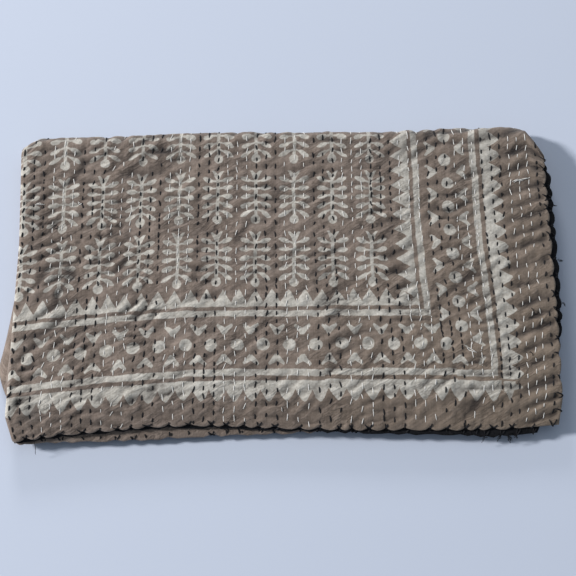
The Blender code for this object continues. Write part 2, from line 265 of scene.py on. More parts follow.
def grid_piece(name, places, outward=True):
    """A mesh from a grid of places (rows, columns, 3), its faces turned along row x column."""
    rows, columns = places.shape[:2]
    corner = np.arange(rows * columns).reshape(rows, columns)
    quads = np.stack([corner[:-1, :-1], corner[:-1, 1:], corner[1:, 1:], corner[1:, :-1]], axis=-1)
    quads = quads.reshape(-1, 4) if outward else quads.reshape(-1, 4)[:, ::-1]
    mesh = bpy.data.meshes.new(name)
    mesh.from_pydata(places.reshape(-1, 3), [], quads)
    mesh.shade_smooth()
    piece = bpy.data.objects.new(name, mesh)
    bpy.context.scene.collection.objects.link(piece)
    return piece


def add_flat_map(piece, u, v):
    """UV map of the piece's place on the unfolded cloth, in metres."""
    flat = np.column_stack([u.ravel(), true_length(v).ravel()])
    corners = np.empty(len(piece.data.loops), dtype=np.int32)
    piece.data.loops.foreach_get("vertex_index", corners)
    piece.data.uv_layers.new(name="flat_cloth").data.foreach_set("uv", flat[corners].ravel())


def spaced(start, end, step):
    """Even places from start to end, about one step apart, without the end."""
    count = max(1, int(round((end - start) / step)))
    return start + (end - start) * np.arange(count) / count


# Grid lines: close together at the hems, the folds and the scallops, wide apart where layers hide
HEM_STEPS = np.array([0.0, 0.0004, 0.0011, 0.0021, 0.0033, 0.0050])
HEM_INSET, UPPER_STEP, SIDE_STEP = WHIP_PITCH / 3, WHIP_PITCH / 6, 0.0100
LEFT_REACH, LEFT_STEP = 0.012, 0.0012
MIDDLE_REACH, MIDDLE_STEP = 0.010, 0.0020
OUTER_FAR_STEP, LOWER_STEP, HIDDEN_STEP, INNER_FAR_STEP = 0.0022, 0.0090, 0.0130, 0.0040
INNER_FAR_V = CLOTH_LENGTH - UPPER_LENGTH
rows = np.concatenate([
    HEM_STEPS, spaced(HEM_INSET, UPPER_LENGTH - FAR_TURN, UPPER_STEP),
    spaced(UPPER_LENGTH - FAR_TURN, UPPER_LENGTH + FAR_TURN, OUTER_FAR_STEP),
    spaced(UPPER_LENGTH + FAR_TURN, MIDDLE_V - MIDDLE_REACH, LOWER_STEP),
    spaced(MIDDLE_V - MIDDLE_REACH, MIDDLE_V + MIDDLE_REACH, MIDDLE_STEP),
    spaced(MIDDLE_V + MIDDLE_REACH, INNER_FAR_V - FAR_TURN, HIDDEN_STEP),
    spaced(INNER_FAR_V - FAR_TURN, INNER_FAR_V + FAR_TURN, INNER_FAR_STEP),
    spaced(INNER_FAR_V + FAR_TURN, CLOTH_LENGTH - HEM_INSET, HEM_INSET),
    CLOTH_LENGTH - HEM_STEPS[::-1],
])
side_columns = np.concatenate([spaced(LEFT_REACH, SIDE_LENGTH - HEM_INSET, SIDE_STEP),
                               SIDE_LENGTH - HEM_STEPS[::-1]])
left_bend = spaced(-LEFT_REACH, LEFT_REACH, LEFT_STEP)
columns = np.concatenate([-side_columns[::-1], left_bend[1:], side_columns])
u, v = np.meshgrid(columns, rows)
n = -QUILT_HALF * hem_curl(u, v)
backing = grid_piece("charcoal_backing", lay(u, v, n), outward=False)
add_flat_map(backing, u, v)


class Field:
    """A number that changes over the cloth: a socket of a node tree that takes arithmetic."""

    def __init__(self, socket):
        self.socket = socket

    def math(self, operation, *others, clamp=False):
        """A Math node of the operation on this field and the others, fields or numbers."""
        tree = self.socket.id_data
        node = tree.nodes.new("ShaderNodeMath")
        node.operation, node.use_clamp = operation, clamp
        for slot, value in zip(node.inputs, (self, *others)):
            if isinstance(value, Field):
                tree.links.new(value.socket, slot)
            else:
                slot.default_value = value
        return Field(node.outputs[0])

    def __add__(self, other):
        return self.math("ADD", other)

    def __sub__(self, other):
        return self.math("SUBTRACT", other)

    def __mul__(self, other):
        return self.math("MULTIPLY", other)

    def __truediv__(self, other):
        return self.math("DIVIDE", other)

    def __pow__(self, other):
        return self.math("POWER", other)

    def __neg__(self):
        return self * -1.0

    def __abs__(self):
        return self.math("ABSOLUTE")

    def both(self, other):
        """Inside both shapes: the smaller."""
        return self.math("MINIMUM", other)

    def either(self, other):
        """Inside either shape: the larger."""
        return self.math("MAXIMUM", other)

    def clamped(self):
        """Kept from 0 to 1."""
        return self.math("ADD", 0.0, clamp=True)

    def off_nearest(self, pitch):
        """Signed distance from the nearest whole multiple of the pitch."""
        return ((self / pitch + 0.5).math("FRACT") - 0.5) * pitch

    def ink(self, softness):
        """0 outside and 1 inside, across a soft edge."""
        return (self / softness + 0.5).clamped()


def noise_field(tree, vector, scale, detail=2.0, stretch=(1.0, 1.0, 1.0), place=(0.0, 0.0, 0.0)):
    """Noise from -1 to 1 over a vector in millimetres; scale is in bumps a millimetre."""
    mapping = tree.nodes.new("ShaderNodeMapping")
    mapping.inputs["Scale"].default_value = stretch
    mapping.inputs["Location"].default_value = place
    tree.links.new(vector, mapping.inputs["Vector"])
    noise = tree.nodes.new("ShaderNodeTexNoise")
    noise.inputs["Scale"].default_value = scale
    noise.inputs["Detail"].default_value = detail
    tree.links.new(mapping.outputs[0], noise.inputs["Vector"])
    return (Field(noise.outputs["Fac"]) - 0.5) * 2.0


def flat_place(tree):
    """The place on the unfolded cloth in millimetres, as a vector socket and two fields."""
    flat = tree.nodes.new("ShaderNodeUVMap")
    flat.uv_map = "flat_cloth"
    scale = tree.nodes.new("ShaderNodeVectorMath")
    scale.operation = "SCALE"
    scale.inputs["Scale"].default_value = 1000.0
    tree.links.new(flat.outputs[0], scale.inputs[0])
    split = tree.nodes.new("ShaderNodeSeparateXYZ")
    tree.links.new(scale.outputs[0], split.inputs[0])
    return scale.outputs[0], Field(split.outputs[0]), Field(split.outputs[1])


def mix_colours(tree, first, second, share):
    """Two colours mixed by a field; each may be a socket or plain numbers."""
    mix = tree.nodes.new("ShaderNodeMix")
    mix.data_type = "RGBA"
    sockets = [s for s in mix.inputs if s.type == "RGBA"]
    for slot, value in zip(sockets, (first, second)):
        if isinstance(value, tuple):
            slot.default_value = (*value, 1.0)
        else:
            tree.links.new(value, slot)
    tree.links.new(share.socket, mix.inputs["Factor"])
    return next(s for s in mix.outputs if s.type == "RGBA")


def cotton_weave(name):
    """Node group of plain woven cotton. Height: warp and weft threads crossing over and under,
    and their thick places. Streaks: colour that runs along single threads."""
    group = bpy.data.node_groups.new(name, "ShaderNodeTree")
    group.interface.new_socket("Thread Pitch", in_out="INPUT", socket_type="NodeSocketFloat")
    group.interface.new_socket("Height", in_out="OUTPUT", socket_type="NodeSocketFloat")
    group.interface.new_socket("Streaks", in_out="OUTPUT", socket_type="NodeSocketFloat")
    pitch = Field(group.nodes.new("NodeGroupInput").outputs["Thread Pitch"])
    vector, u, v = flat_place(group)
    across = (u / pitch * pi).math("SINE")
    down = (v / pitch * pi).math("SINE")
    weave = abs(across) * 0.5 + abs(down) * 0.5 + across * down * 0.35
    along_warp = noise_field(group, vector, scale=1.1, detail=3.0, stretch=(1.0, 0.06, 1.0))
    along_weft = noise_field(group, vector, scale=1.0, detail=3.0, stretch=(0.05, 1.0, 1.0))
    streaks = along_warp * 0.65 + along_weft * 0.45
    output = group.nodes.new("NodeGroupOutput")
    group.links.new((weave + streaks * 0.8).socket, output.inputs["Height"])
    group.links.new(streaks.socket, output.inputs["Streaks"])
    return group


def cotton_wrinkles(name, across_size, along_size, lean):
    """Node group of the small wrinkles that sewing leaves: a noise turned by the lean and drawn
    out along it. Height: the noise, less a narrow valley along its zero lines. Valley: those
    valleys alone, strong in some places and faint in others, the weight of the shade painted into
    them."""
    group = bpy.data.node_groups.new(name, "ShaderNodeTree")
    group.interface.new_socket("Height", in_out="OUTPUT", socket_type="NodeSocketFloat")
    group.interface.new_socket("Valley", in_out="OUTPUT", socket_type="NodeSocketFloat")
    vector, _, _ = flat_place(group)
    turned = group.nodes.new("ShaderNodeMapping")
    turned.vector_type = "TEXTURE"
    turned.inputs["Rotation"].default_value = (0.0, 0.0, lean)
    turned.inputs["Scale"].default_value = (along_size, across_size, 1.0)
    group.links.new(vector, turned.inputs["Vector"])
    wave = noise_field(group, turned.outputs[0], scale=1.0, detail=2.5)
    patch = (noise_field(group, vector, scale=0.022, detail=1.0) * 1.6 + 0.55).clamped()
    valley = (-(abs(wave) * 5.0) + 1.0).clamped() ** 1.3 * patch
    output = group.nodes.new("NodeGroupOutput")
    group.links.new((wave - valley * 0.6).socket, output.inputs["Height"])
    group.links.new(valley.socket, output.inputs["Valley"])
    return group


THREAD_PITCH_MM, WEAVE_DEPTH, WEAVE_STRENGTH = 0.55, 0.00012, 0.8
WRINKLE_DEPTH, SHEEN_ROUGHNESS = 0.0006, 0.6


def cloth_material(name, roughness, sheen, gloss):
    """Matt cotton: a Principled shader whose bump takes the wrinkles and the weave, with the
    weave's streaks at hand for its colour, and the wrinkles' height and valleys for the shade and
    light painted into it."""
    material = bpy.data.materials.new(name)
    material.use_nodes = True
    tree = material.node_tree
    shader = tree.nodes["Principled BSDF"]
    shader.inputs["Roughness"].default_value = roughness
    shader.inputs["Sheen Weight"].default_value = sheen
    shader.inputs["Sheen Roughness"].default_value = SHEEN_ROUGHNESS
    shader.inputs["Specular IOR Level"].default_value = gloss
    weave = tree.nodes.new("ShaderNodeGroup")
    weave.node_tree = weave_group
    weave.inputs["Thread Pitch"].default_value = THREAD_PITCH_MM
    bump = tree.nodes.new("ShaderNodeBump")
    bump.inputs["Distance"].default_value = WEAVE_DEPTH
    bump.inputs["Strength"].default_value = WEAVE_STRENGTH
    tree.links.new(weave.outputs["Height"], bump.inputs["Height"])
    tree.links.new(bump.outputs[0], shader.inputs["Normal"])
    wrinkles = tree.nodes.new("ShaderNodeGroup")
    wrinkles.node_tree = wrinkle_group
    folds = tree.nodes.new("ShaderNodeBump")
    folds.inputs["Distance"].default_value = WRINKLE_DEPTH
    tree.links.new(wrinkles.outputs["Height"], folds.inputs["Height"])
    tree.links.new(folds.outputs[0], bump.inputs["Normal"])
    return (material, tree, shader, Field(weave.outputs["Streaks"]),
            Field(wrinkles.outputs["Height"]), Field(wrinkles.outputs["Valley"]))


weave_group = cotton_weave("woven_cotton")
wrinkle_group = cotton_wrinkles("sewn_wrinkles", across_size=5.5, along_size=17.0,
                                lean=radians(30.0))

CHARCOAL_DARK, CHARCOAL_LIGHT = (0.0055, 0.0055, 0.0065), (0.020, 0.019, 0.021)
# Painted shade for the wrinkles' valleys on the charcoal cloth
CHARCOAL_PAINTED_SHADE = (0.003, 0.003, 0.003)
material, tree, shader, streaks, wrinkles, valleys = cloth_material(
    "charcoal_cotton", roughness=0.94, sheen=0.01, gloss=0.10)
lint = noise_field(tree, flat_place(tree)[0], scale=0.8, detail=4.0)
# The lightness mixes lint and streaks, the cloth's own tone, with the wrinkles' height, which
# paints shade in their troughs and light on their crests
lightness = (lint * 0.7 + streaks * 0.6 + wrinkles * 0.3 + 0.30).clamped()
charcoal = mix_colours(tree, CHARCOAL_DARK, CHARCOAL_LIGHT, lightness)
# Painted shade: the charcoal darkened along the wrinkles' valleys
charcoal = mix_colours(tree, charcoal, CHARCOAL_PAINTED_SHADE, valleys * 0.7)
tree.links.new(charcoal, shader.inputs["Base Color"])
backing.data.materials.append(material)
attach(backing, "root")
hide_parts("backing_cloth")

# Block-printed face cloth
# A soft brown cotton printed with small trees inside a border, sewn down in rows. Thread pulled
# through the layers draws a channel along each row and puckers across the rows.
ROW_PITCH, MARGIN_ROW_PITCH, MARGIN_ROWS, FIRST_ROW = 0.01155, 0.0111, 13, 0.0112
STITCH_PITCH, LAST_ROW, LAST_BETWEEN = 0.0138, 0.012, 0.0130
ROW_STEPS = np.array([0.0, 0.14, 0.38, 0.62, 0.86])
row_places = [SIDE_LENGTH - FIRST_ROW - MARGIN_ROW_PITCH * k for k in range(MARGIN_ROWS)]
while row_places[-1] > LAST_ROW:
    row_places.append(row_places[-1] - ROW_PITCH)
row_places = np.array(row_places[::-1])
between = (row_places[:-1, None] + np.diff(row_places)[:, None] * ROW_STEPS).ravel()
face_columns = np.concatenate([-side_columns[::-1], left_bend[1:], [LEFT_REACH],
                               between[between > LAST_BETWEEN], [row_places[-1]],
                               SIDE_LENGTH - HEM_STEPS[::-1]])

ROW_DRIFT, DRIFT_START_V, DRIFT_END_V = 0.010, 0.276, 0.070
DRIFT_U, DRIFT_SHARE = (0.25, 0.45, 0.55, 0.60, SIDE_LENGTH), (0.0, 1.0, 0.9, 0.4, 0.0)
PUCKER_SLANT, PUCKER_WANDER, PUCKER_JITTER = 0.28, 0.85, 0.16
MARGIN_SLANT, MARGIN_OUT, MARGIN_IN = 0.34, 0.072, 0.038
NOISE_WAVES, NOISE_SPREAD = 8, 3.2


def soft_noise(u, v, size, seed):
    """Smooth noise from about -1 to 1: slow waves of seeded directions, lengths and phases."""
    chance = np.random.default_rng(seed)
    angles = chance.uniform(0, pi, NOISE_WAVES)
    phases = chance.uniform(0, 2 * pi, NOISE_WAVES)
    total = 0.0
    for angle, phase, stretch in zip(angles, phases, chance.uniform(0.6, 1.6, NOISE_WAVES)):
        place = (u * np.cos(angle) + v * np.sin(angle)) / (size * stretch)
        total = total + np.sin(2 * pi * place + phase)
    return total / NOISE_SPREAD


def row_drift(u, v):
    """The rows bear to the right toward the front, most of all beside the right border."""
    front = eased(ramp(v, DRIFT_START_V, DRIFT_END_V))
    return ROW_DRIFT * front * np.interp(u, DRIFT_U, DRIFT_SHARE)


def pucker_count(u, v):
    """Counts the puckers along the cloth: one to a stitch, slanting across the rows and
    wandering. In the right margin they slant more and keep step with the whip stitches."""
    field = (v - PUCKER_SLANT * u) / STITCH_PITCH + PUCKER_WANDER * soft_noise(u, v, 0.16, 5)
    field = field + PUCKER_JITTER * soft_noise(u * 1.3, v, 0.042, 6)
    margin = whip_count(v - MARGIN_SLANT * (u - SIDE_LENGTH)) + 0.5
    near = eased(ramp(u, SIDE_LENGTH - MARGIN_OUT, SIDE_LENGTH - MARGIN_IN))
    return field, margin, near


# Heights of the relief: between two puckers, in a row, in a crease, and of the small unevenness
PUFF_HEIGHT, GROOVE_DEPTH, CREASE_DEPTH, SMALL_HEIGHT = 0.0026, 0.0003, 0.0020, 0.0006
PUFF_LEVEL, GROOVE_HALF, CREASE_SLANT = 0.6, 0.17, 0.48
QUIET_U, QUIET_PUFF, QUIET_CREASE = (0.09, 0.20, 0.46, 0.56), (1.0, 0.66, 0.72, 1.0), (1.0, 0.55)
EDGE_FADE = 0.006


def quilting(u, v):
    """Height that the sewing gives the printed side, and how hollow the cloth is there, which
    weights the shade painted into the face's hollows. Between two puckers the cloth puffs up as a
    cosine's size does, so the puckers are narrow; uneven creases follow the zero lines of a
    stretched noise;
    each row has a shallow groove. Only where the cloth shows on top and round the far fold."""
    row = np.interp(u - row_drift(u, v), row_places, np.arange(len(row_places)))
    groove = np.exp(-((row - np.round(row)) / GROOVE_HALF) ** 2)
    field, margin, near = pucker_count(u, v)
    strength = np.clip(0.66 + 0.50 * soft_noise(u, v, 0.070, 11), 0.12, 1.3)
    strength = strength * np.interp(u, QUIET_U, QUIET_PUFF)
    puff = np.abs(np.cos(pi * field)) ** 1.1 * (1 - near)
    puff = puff + np.abs(np.cos(pi * margin)) ** 1.2 * near
    strength = strength * (1 - near) + (1.05 + 0.30 * soft_noise(u, v, 0.06, 12)) * near
    crease = 1 - 3.0 * np.abs(soft_noise(u * 0.40, v - CREASE_SLANT * u, 0.036, 8))
    crease = np.clip(crease, 0.0, 1.0) ** 1.3
    crease = crease * np.clip(0.55 + 0.9 * soft_noise(u, v, 0.11, 10), 0.0, 1.0) * (1 - 0.6 * near)
    crease = crease * np.interp(u, QUIET_U[:2], QUIET_CREASE)
    small = soft_noise(u * 0.55, v - CREASE_SLANT * u, 0.015, 14)
    height = PUFF_HEIGHT * strength * (puff - PUFF_LEVEL) - GROOVE_DEPTH * groove
    height = height - CREASE_DEPTH * crease + SMALL_HEIGHT * small
    hollow = strength * (1 - puff) ** 1.5 + 0.9 * crease + 0.12 * groove - 0.15 * small
    last_v = UPPER_LENGTH + FAR_TURN
    shown = ramp(u, LEFT_TURN, LEFT_REACH) * ramp(v, 0.0, EDGE_FADE)
    shown = shown * ramp(SIDE_LENGTH - u, 0.0, EDGE_FADE) * ramp(last_v - v, 0.004, 0.012)
    return shown * height, shown * np.clip(hollow, 0.0, 1.0)


def printed_height(u, v):
    """Height of the printed side over the quilt's middle: half the quilt, its hems and relief."""
    return QUILT_HALF * hem_curl(u, v) + quilting(u, v)[0]


u, v = np.meshgrid(face_columns, rows)
u = u + row_drift(u, v)
face = grid_piece("printed_face", lay(u, v, printed_height(u, v)))
add_flat_map(face, u, v)
# The hollows' weights go on the face as an attribute, which its material reads for painted shade
hollow_map = face.data.attributes.new("hollow", "FLOAT", "POINT")
hollow_map.data.foreach_set("value", quilting(u, v)[1].ravel())


# The block print in millimetres: the border counted inward from the tips of its outer teeth, and
# each tree counted from its foot
SIDE_MM, LENGTH_MM = SIDE_LENGTH * 1000, CLOTH_LENGTH * 1000
SIDE_MARGIN, END_MARGIN, BLOCK_LENGTH, BLOCK_JOG = 55.0, 31.0, 151.0, 0.8
SKEW, SKEW_START, SKEW_LENGTH = 11.0, 276.0, 206.0
WOBBLE_SCALES, WOBBLE_SIZES = (0.035, 0.16), (2.2, 0.9)
WOBBLE_PLACES = ((13.0, 5.3, 1.3), (59.4, 24.2, 5.9))
OUTER_TOOTH_PITCH, OUTER_TOOTH_DEPTH, OUTER_STRIP_END = 19.6, 14.0, 24.0
LOBE_MIDDLE, LOBE_HALF, LOBE_START, LOBE_END = 7.2, 6.6, 0.8, 21.5
STRIPES = ((29.2, 37.0), (100.8, 108.4))
DOT_PITCH, DOT_LINE, DOT_RADIUS, DOT_SIDE, DOT_END = 30.14, 67.0, 7.4, 120.0, 502.5
ARROW_GAP, ARROW_LENGTH, ARROW_HALF = 12.0, 13.0, 9.2
INNER_TOOTH_PITCH, INNER_TOOTH_DEPTH = 19.1, 16.0
INNER_STRIP_START, INNER_TIPS = 113.0, 134.5
TREE_PITCH, TREE_ROW_PITCH, TREE_START, TREE_FOOT, TREE_SCALE = 46.0, 80.0, 5.0, 168.0, 0.92
FOOT_HEIGHT, FOOT_RADIUS, STEM_HALF, STEM_LOW, STEM_HIGH = 5.6, 5.5, 2.0, 8.0, 58.0
LEAF_LOW, LEAF_PITCH, LEAF_FAN, LEAF_DROOP, LEAF_REACH = 18.0, 8.15, 3.2, 8.3, 16.0
LEAF_MIDDLE, LEAF_HALF, LEAF_END, LEAF_NECK = 12.0, 3.0, 18.5, 1.15
CROWN_LOW, CROWN_FORK, CROWN_HIGH = 52.0, 60.5, 64.5
TREES_SIDE, TREES_FRONT, TREES_FAR = 430.0, 440.0, 190.0


def print_shapes(tree, vector, u, v):
    """The printed shapes as one field in millimetres, positive inside the pale parts. The border
    is worked out over `inward`, the distance in from the tips of its outer teeth, and the
    distance along it; the trees over the place in their own cell."""
    def wobble(places):
        """Uneven printing: a slow noise and a quick one, added up."""
        slow, quick = (noise_field(tree, vector, scale, place=place) * size
                       for scale, size, place in zip(WOBBLE_SCALES, WOBBLE_SIZES, places))
        return slow + quick

    u, v = u + wobble(((0.0, 0.0, 0.0),) * 2), v + wobble(WOBBLE_PLACES)

    def block_jog(place):
        """Each block of the border is set down a little off the line."""
        return ((place / BLOCK_LENGTH).math("FLOOR") * 2.4).math("SINE") * BLOCK_JOG

    to_end = v.both(-(v - LENGTH_MM))
    skew = (-(to_end - SKEW_START) / SKEW_LENGTH).clamped()
    skew = skew * skew * (-(skew * 2.0) + 3.0) * SKEW
    from_side = -(abs(u) - (SIDE_MM - SIDE_MARGIN)) + skew + block_jog(v - 20.0)
    from_end = to_end - END_MARGIN + block_jog(u - 60.0)
    inward = from_side.both(from_end)
    at_side = (from_end - from_side).ink(0.01)

    def along(side_start, end_start, pitch):
        """Distance from the nearest motif of a row, on whichever border the place lies in."""
        side_off = (v - side_start).off_nearest(pitch)
        end_off = (u - end_start).off_nearest(pitch)
        return side_off * at_side + end_off * (-(at_side - 1.0))

    def tooth(off, pitch, depth, power):
        """Depth of the gap beside a tooth's tip, growing to the full depth between two teeth."""
        return (abs(off) / (pitch / 2)).clamped() ** power * depth

    def band(low, high):
        """A straight stripe between two distances inward."""
        return (inward - low).both(-(inward - high))

    # Outer teeth on a solid strip, with their own two-lobed tooth at the corner
    outer = along(43.0, 553.5, OUTER_TOOTH_PITCH)
    edge = inward - tooth(outer, OUTER_TOOTH_PITCH, OUTER_TOOTH_DEPTH, 1.55)
    out_side, out_end = -(from_side - OUTER_STRIP_END), -(from_end - OUTER_STRIP_END)
    shapes = edge.both(-(inward - OUTER_STRIP_END))
    shapes = shapes.both((from_side - 24.6).either(from_end - 25.0))
    shapes = shapes.both(out_side.either(from_side - 25.6)).both(out_end.either(from_end - 25.6))

    def lobe(length, width):
        """One lobe of the corner tooth: parallel sides that close to a point at the tip."""
        narrowing = -((length / OUTER_STRIP_END).clamped() ** 1.7) + 1.0
        sides = -(abs(width - LOBE_MIDDLE) - narrowing * LOBE_HALF)
        return sides.both(length - LOBE_START).both(-(length - LOBE_END)).both(width - LOBE_START)

    shapes = shapes.either(lobe(out_side, out_end)).either(lobe(out_end, out_side))

    # Two stripes
    for low, high in STRIPES:
        shapes = shapes.either(band(low, high))

    # Dots, and arrowheads on both sides that point at the line of dots
    near_dot, from_line = along(DOT_SIDE, DOT_END, DOT_PITCH), inward - DOT_LINE
    dot = -((near_dot * near_dot + from_line * from_line) ** 0.5 - DOT_RADIUS)
    near_arrow = abs(along(DOT_SIDE + DOT_PITCH / 2, DOT_END + DOT_PITCH / 2, DOT_PITCH))
    back = abs(from_line) - ARROW_GAP
    arrow = (back * 0.72 + 2.0 - near_arrow).both(-(back - 8.2 - near_arrow * 0.60))
    arrow = arrow.both(-(back - ARROW_LENGTH)).both(back + 0.3).both(-(near_arrow - ARROW_HALF))
    arrow = arrow.both(-(near_arrow * 0.8 + back * 0.6) + 14.2)
    shapes = shapes.either(dot).either(arrow)

    # Inner teeth
    inner = along(127.0, 396.5, INNER_TOOTH_PITCH)
    tips = -(inward - INNER_TIPS + tooth(inner, INNER_TOOTH_PITCH, INNER_TOOTH_DEPTH, 1.05))
    shapes = shapes.either(tips.both(inward - INNER_STRIP_START))

    # Trees: a round foot, a stem, five pairs of leaves that droop more toward the foot, a crown
    column = ((u - TREE_START) / TREE_PITCH + 0.5).math("FLOOR")
    row = ((v - TREE_FOOT + 8.0) / TREE_ROW_PITCH).math("FLOOR")
    p = abs((u - TREE_START).off_nearest(TREE_PITCH))
    q = (v - TREE_FOOT - row * TREE_ROW_PITCH) * TREE_SCALE
    up = q - FOOT_HEIGHT
    foot = -((p * p + up * up) ** 0.5 - FOOT_RADIUS)
    stem = (-(p - STEM_HALF)).both(q - STEM_LOW).both(-(q - STEM_HIGH))
    spread = p / LEAF_REACH
    gap = spread * LEAF_FAN + LEAF_PITCH
    pair = (q - LEAF_LOW + spread * LEAF_DROOP) / gap
    to_leaf = abs((pair + 0.5).math("FRACT") - 0.5) * gap
    out = p - LEAF_MIDDLE
    leaf_half = (-(out * out) / 40.0 + 1.0).either(0.0) ** 0.5 * LEAF_HALF
    leaf_half = leaf_half.either(-(abs(p - 6.0) - 6.0) * 5.0).both(leaf_half.either(LEAF_NECK))
    leaf = (leaf_half - to_leaf).both(-(p - LEAF_END)).both((-(abs(pair - 2.0)) + 2.5) * 8.0)
    crown = ((q - 53.0) * 0.50 + 1.6 - p).both(p - (q - CROWN_FORK) * 1.1)
    crown = crown.both(q - CROWN_LOW).both(-(q - CROWN_HIGH))
    tree_shape = foot.either(stem).either(leaf).either(crown)

    # Only whole trees inside the border, and the column over the left fold in the upper half alone
    inside = (-(abs(column * TREE_PITCH + TREE_START) - TREES_SIDE)).both(row + 0.5)
    inside = inside.both((abs(column) - 0.5).either(-(v - TREES_FRONT)))
    top = row * TREE_ROW_PITCH + TREE_FOOT + 32.0
    inside = inside.both(-(top - (LENGTH_MM - TREES_FAR)))
    return shapes.either(tree_shape.both(inside))


COTTON_DARK, COTTON_LIGHT = (0.135, 0.100, 0.078), (0.252, 0.196, 0.162)
# COTTON_WARM below is the cloth's warmer tone; the other colour beside it is painted shade for the
# hollows and the wrinkles' valleys
COTTON_WARM, PAINTED_HOLLOW_SHADE = (0.212, 0.158, 0.105), (0.020, 0.014, 0.012)
PRINT_DARK, PRINT_LIGHT = (0.360, 0.330, 0.285), (0.560, 0.524, 0.466)
SMUDGE, SMUDGE_U, SMUDGE_V, SMUDGE_RADIUS = (0.105, 0.098, 0.092), 28.0, 36.0, 13.0
material, tree, shader, streaks, wrinkles, valleys = cloth_material(
    "printed_cotton", roughness=0.92, sheen=0.12, gloss=0.22)
vector, place_u, place_v = flat_place(tree)
ragged = noise_field(tree, vector, scale=0.9) * 0.55
mask = (print_shapes(tree, vector, place_u, place_v) + ragged).ink(0.9)
# The hollows' weights, read back for the painted shade
reader = tree.nodes.new("ShaderNodeAttribute")
reader.attribute_name = "hollow"
hollow = Field(reader.outputs["Fac"])
blotch = noise_field(tree, vector, scale=0.05, detail=3.0)
fine = noise_field(tree, vector, scale=0.35, detail=3.0)
# The ground's lightness mixes its own blotches and streaks with the wrinkles' height, which paints
# shade in their troughs and light on their crests
lightness = (blotch * 0.6 + fine * 0.6 + streaks * 0.9 + wrinkles * 0.5 + 0.45).clamped()
ground = mix_colours(tree, COTTON_DARK, COTTON_LIGHT, lightness)

# The cloth is warmer toward the front right, and soiled in one place near the front left
warm = ((place_u - place_v * 0.7 - 200.0) / 500.0 + blotch * 0.25).clamped()
ground = mix_colours(tree, ground, COTTON_WARM, warm * 0.55)
# The print's lightness likewise: its own mottling and streaks, with painted shade and light from
# the wrinkles' height
lightness = (fine * 0.6 - blotch * 0.6 + streaks * 0.8 + wrinkles * 0.4 + 0.5).clamped()
pale = mix_colours(tree, PRINT_DARK, PRINT_LIGHT, lightness)
colour = mix_colours(tree, ground, pale, mask * (fine * 0.25 + 0.92))
off_u, off_v = place_u - SMUDGE_U, (place_v - SMUDGE_V) * 0.8
off_smudge = (off_u * off_u + off_v * off_v) ** 0.5 / SMUDGE_RADIUS
colour = mix_colours(tree, colour, SMUDGE, (-off_smudge + 1.1 + fine * 0.3).clamped() * 0.55)
# Painted shade: the face darkened in the puckers' hollows, creases and grooves, and along the
# wrinkles' valleys
shade = (hollow * 0.84 + valleys * 0.26).clamped()
colour = mix_colours(tree, colour, PAINTED_HOLLOW_SHADE, shade)
tree.links.new(colour, shader.inputs["Base Color"])
face.data.materials.append(material)
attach(face, "root")
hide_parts("face_cloth")

# Running stitches
# Two-ply cotton thread worked by hand through both cloths, three rows in cream and three in
# black by turns. Each stitch lies in a pucker's hollow and dives into the cloth at both ends.
THREAD_HALF, RINGS, AROUND, TIP_REACH, FLATNESS = 0.00052, 5, 5, 0.3, 0.8


def threads(name, path_u, path_v, path_n, half):
    """Closed thin tubes, one to a row of the path arrays: rings round each path point, flatter
    than wide and thinner toward the ends, and a point at each end. The path is in cloth
    coordinates; the width lies across it on the cloth and the height off the cloth."""
    def tip(end, inner):
        """A point a little past one end of each path, in line with its last step."""
        beyond = lay(2 * path_u[:, end] - path_u[:, inner], 2 * path_v[:, end] - path_v[:, inner],
                     2 * path_n[:, end] - path_n[:, inner])
        at_end = lay(path_u[:, end], path_v[:, end], path_n[:, end])
        return (beyond * TIP_REACH + at_end * (1 - TIP_REACH))[:, None]

    count, stations = path_u.shape
    turn = 2 * pi * np.arange(AROUND) / AROUND
    step_u, step_v = np.gradient(path_u, axis=1), np.gradient(path_v, axis=1)
    length = np.maximum(np.hypot(step_u, step_v), 1e-9)
    taper = half * (1 - 0.35 * np.linspace(-1, 1, stations) ** 4)
    side = np.cos(turn)[None, None, :] * taper[None, :, None]
    ring_u = path_u[..., None] + side * (step_v / length)[..., None]
    ring_v = path_v[..., None] - side * (step_u / length)[..., None]
    ring_n = path_n[..., None] + FLATNESS * np.sin(turn)[None, None, :] * taper[None, :, None]
    places = np.concatenate([lay(ring_u, ring_v, ring_n).reshape(count, -1, 3),
                             tip(0, 1), tip(-1, -2)], axis=1)
    ring = np.arange(stations * AROUND).reshape(stations, AROUND)
    after = np.roll(ring, -1, axis=1)
    quads = np.stack([ring[:-1], after[:-1], after[1:], ring[1:]], axis=-1).reshape(-1, 4)
    first, last = stations * AROUND, stations * AROUND + 1
    caps = [(first, a, b) for a, b in zip(after[0], ring[0])]
    caps += [(last, a, b) for a, b in zip(ring[-1], after[-1])]
    starts = np.arange(count) * (last + 1)
    faces = (quads[None] + starts[:, None, None]).reshape(-1, 4).tolist()
    faces += (np.array(caps)[None] + starts[:, None, None]).reshape(-1, 3).tolist()
    mesh = bpy.data.meshes.new(name)
    mesh.from_pydata(places.reshape(-1, 3), [], faces)
    mesh.shade_smooth()
    along = np.append(np.repeat(np.arange(stations) / 4.0, AROUND), (0.0, stations / 4.0))
    around = np.append(np.tile(np.arange(AROUND) / AROUND, stations), (0.0, 0.0))
    twist = np.column_stack([np.tile(around, count), np.tile(along, count)])
    corners = np.empty(len(mesh.loops), dtype=np.int32)
    mesh.loops.foreach_get("vertex_index", corners)
    mesh.uv_layers.new(name="thread").data.foreach_set("uv", twist[corners].ravel())
    piece = bpy.data.objects.new(name, mesh)
    bpy.context.scene.collection.objects.link(piece)
    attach(piece, "root")
    return piece


